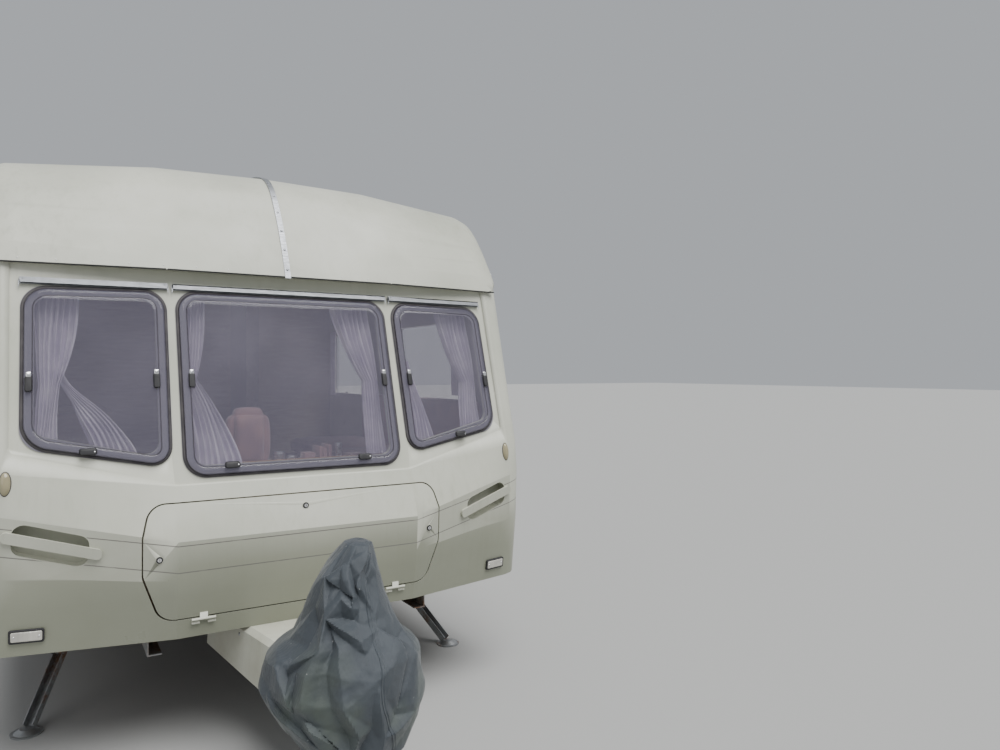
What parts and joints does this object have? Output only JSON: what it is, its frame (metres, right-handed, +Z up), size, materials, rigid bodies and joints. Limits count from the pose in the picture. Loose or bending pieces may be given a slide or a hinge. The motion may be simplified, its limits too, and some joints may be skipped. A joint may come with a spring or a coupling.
{
  "type": "travel caravan",
  "caption": "Touring caravan with a raked front, hinged front locker door, split entrance door, roof hatches, jockey wheel, let-down corner steadies and a cloth hitch cover.",
  "frame": {"origin": "middle of the overall length and width, on the floor", "axes": "-Y toward the hitch, +X toward the entrance side, +Z up"},
  "size_m": [2.244, 5.625, 2.5373],
  "materials": {
    "body_skin": "satin",
    "moulding": "satin",
    "galvanised": "matte",
    "cast": "matte",
    "black_rubber": "matte",
    "tyre": "matte",
    "wheel_paint": "satin",
    "cloth": "matte",
    "net": "matte",
    "upholstery": "matte",
    "board": "satin",
    "bright_aluminium": "satin",
    "tinted_acrylic": "gloss",
    "clear_plastic": "gloss",
    "marker_lens": "gloss",
    "red_lens": "gloss",
    "white_plastic": "satin"
  },
  "bodies": {
    "caravan": {"aerial": "white_plastic", "axle": "galvanised", "body_windows": "tinted_acrylic", "chassis": "galvanised", "coupling_head": "cast", "curtains": "net", "cushions": "upholstery", "drawbar": "galvanised", "drawbar_fairing": "moulding", "floor": "board", "front_lamps": "clear_plastic", "front_panel": "body_skin", "front_windows": "tinted_acrylic", "furniture": "board", "gaiter": "black_rubber", "grab_handles": "moulding", "hand_brake": "cast", "hatch_frames": "moulding", "hinge_knuckles": "bright_aluminium", "hitch_cover": "cloth", "jockey_tube": "galvanised", "marker_lamps": "marker_lens", "overrun_housing": "cast", "rails": "bright_aluminium", "rear_lamps": "red_lens", "rear_panel": "body_skin", "roof": "body_skin", "roof_moulding": "moulding", "side_wall_nearside": "body_skin", "side_wall_offside": "body_skin", "steady_bases": "galvanised", "wall_fittings": "white_plastic", "wheel_boxes": "board", "window_seals": "black_rubber"},
    "wheel_offside": {"wheel_offside": "wheel_paint", "tyre_offside": "tyre"},
    "wheel_nearside": {"wheel_nearside": "wheel_paint", "tyre_nearside": "tyre"},
    "jockey_stem": {"jockey_stem": "galvanised"},
    "jockey_fork": {"jockey_fork": "galvanised"},
    "jockey_wheel": {"jockey_wheel": "black_rubber"},
    "locker_door": {"locker_door": "body_skin"},
    "door_lower": {"door_lower": "body_skin"},
    "door_upper": {"door_upper": "body_skin", "door_window": "tinted_acrylic"},
    "hatch_lid_large": {"hatch_lid_large": "clear_plastic"},
    "hatch_lid_small": {"hatch_lid_small": "clear_plastic"},
    "steady_leg_front_offside": {"steady_leg_front_offside": "galvanised"},
    "steady_brace_front_offside": {"steady_brace_front_offside": "galvanised"},
    "steady_leg_front_nearside": {"steady_leg_front_nearside": "galvanised"},
    "steady_brace_front_nearside": {"steady_brace_front_nearside": "galvanised"},
    "steady_leg_rear_offside": {"steady_leg_rear_offside": "galvanised"},
    "steady_brace_rear_offside": {"steady_brace_rear_offside": "galvanised"},
    "steady_leg_rear_nearside": {"steady_leg_rear_nearside": "galvanised"},
    "steady_brace_rear_nearside": {"steady_brace_rear_nearside": "galvanised"}
  },
  "joints": [
    {"name": "wheel_offside_spin", "type": "hinge", "parent": "caravan", "child": "wheel_offside", "pos_m": [-0.975, 0.6945, 0.3], "axis": [1, 0, 0], "continuous": true},
    {"name": "wheel_nearside_spin", "type": "hinge", "parent": "caravan", "child": "wheel_nearside", "pos_m": [0.975, 0.6945, 0.3], "axis": [1, 0, 0], "continuous": true},
    {"name": "jockey_slide", "type": "slide", "parent": "caravan", "child": "jockey_stem", "axis": [0, 0, 1], "range_m": [0, 0.15]},
    {"name": "jockey_swivel", "type": "hinge", "parent": "jockey_stem", "child": "jockey_fork", "pos_m": [-0.12, -2.5155, 0.222], "axis": [0, 0, 1], "continuous": true},
    {"name": "jockey_spin", "type": "hinge", "parent": "jockey_fork", "child": "jockey_wheel", "pos_m": [-0.12, -2.4855, 0.095], "axis": [1, 0, 0], "continuous": true},
    {"name": "steady_front_offside", "type": "hinge", "parent": "caravan", "child": "steady_leg_front_offside", "pos_m": [-0.74, -0.9275, 0.385], "axis": [0.8746, -0.4848, 0], "range_deg": [-36.3, 0]},
    {"name": "steady_brace_front_offside", "type": "hinge", "parent": "steady_leg_front_offside", "child": "steady_brace_front_offside", "pos_m": [-0.82248, -1.0763, 0.23022], "axis": [0.8746, -0.4848, 0], "range_deg": [0, 72.6]},
    {"name": "steady_front_nearside", "type": "hinge", "parent": "caravan", "child": "steady_leg_front_nearside", "pos_m": [0.74, -0.9275, 0.385], "axis": [0.8746, 0.4848, 0], "range_deg": [-36.3, 0]},
    {"name": "steady_brace_front_nearside", "type": "hinge", "parent": "steady_leg_front_nearside", "child": "steady_brace_front_nearside", "pos_m": [0.82248, -1.0763, 0.23022], "axis": [0.8746, 0.4848, 0], "range_deg": [0, 72.6]},
    {"name": "steady_rear_offside", "type": "hinge", "parent": "caravan", "child": "steady_leg_rear_offside", "pos_m": [-0.74, 1.8545, 0.385], "axis": [-0.8746, -0.4848, 0], "range_deg": [-36.3, 0]},
    {"name": "steady_brace_rear_offside", "type": "hinge", "parent": "steady_leg_rear_offside", "child": "steady_brace_rear_offside", "pos_m": [-0.82248, 2.0033, 0.23022], "axis": [-0.8746, -0.4848, 0], "range_deg": [0, 72.6]},
    {"name": "steady_rear_nearside", "type": "hinge", "parent": "caravan", "child": "steady_leg_rear_nearside", "pos_m": [0.74, 1.8545, 0.385], "axis": [-0.8746, 0.4848, 0], "range_deg": [-36.3, 0]},
    {"name": "steady_brace_rear_nearside", "type": "hinge", "parent": "steady_leg_rear_nearside", "child": "steady_brace_rear_nearside", "pos_m": [0.82248, 2.0033, 0.23022], "axis": [-0.8746, 0.4848, 0], "range_deg": [0, 72.6]},
    {"name": "locker_lid", "type": "hinge", "parent": "caravan", "child": "locker_door", "pos_m": [0, -1.87618, 0.526], "axis": [1, 0, 0], "range_deg": [0, 88]},
    {"name": "door_lower_hinge", "type": "hinge", "parent": "caravan", "child": "door_lower", "pos_m": [1.108, 1.4275, 0.9], "axis": [0, 0, -1], "range_deg": [0, 160]},
    {"name": "door_upper_hinge", "type": "hinge", "parent": "caravan", "child": "door_upper", "pos_m": [1.108, 1.4275, 1.75], "axis": [0, 0, -1], "range_deg": [0, 160]},
    {"name": "hatch_large_hinge", "type": "hinge", "parent": "caravan", "child": "hatch_lid_large", "pos_m": [0, 0.1825, 2.4823], "axis": [1, 0, 0], "range_deg": [0, 50]},
    {"name": "hatch_small_hinge", "type": "hinge", "parent": "caravan", "child": "hatch_lid_small", "pos_m": [0.25, 0.9325, 2.4823], "axis": [1, 0, 0], "range_deg": [0, 50]}
  ],
  "couplings": [
    {"joint": "steady_brace_front_offside", "follows": "steady_front_offside", "ratio": -2},
    {"joint": "steady_brace_front_nearside", "follows": "steady_front_nearside", "ratio": -2},
    {"joint": "steady_brace_rear_offside", "follows": "steady_rear_offside", "ratio": -2},
    {"joint": "steady_brace_rear_nearside", "follows": "steady_rear_nearside", "ratio": -2}
  ]
}
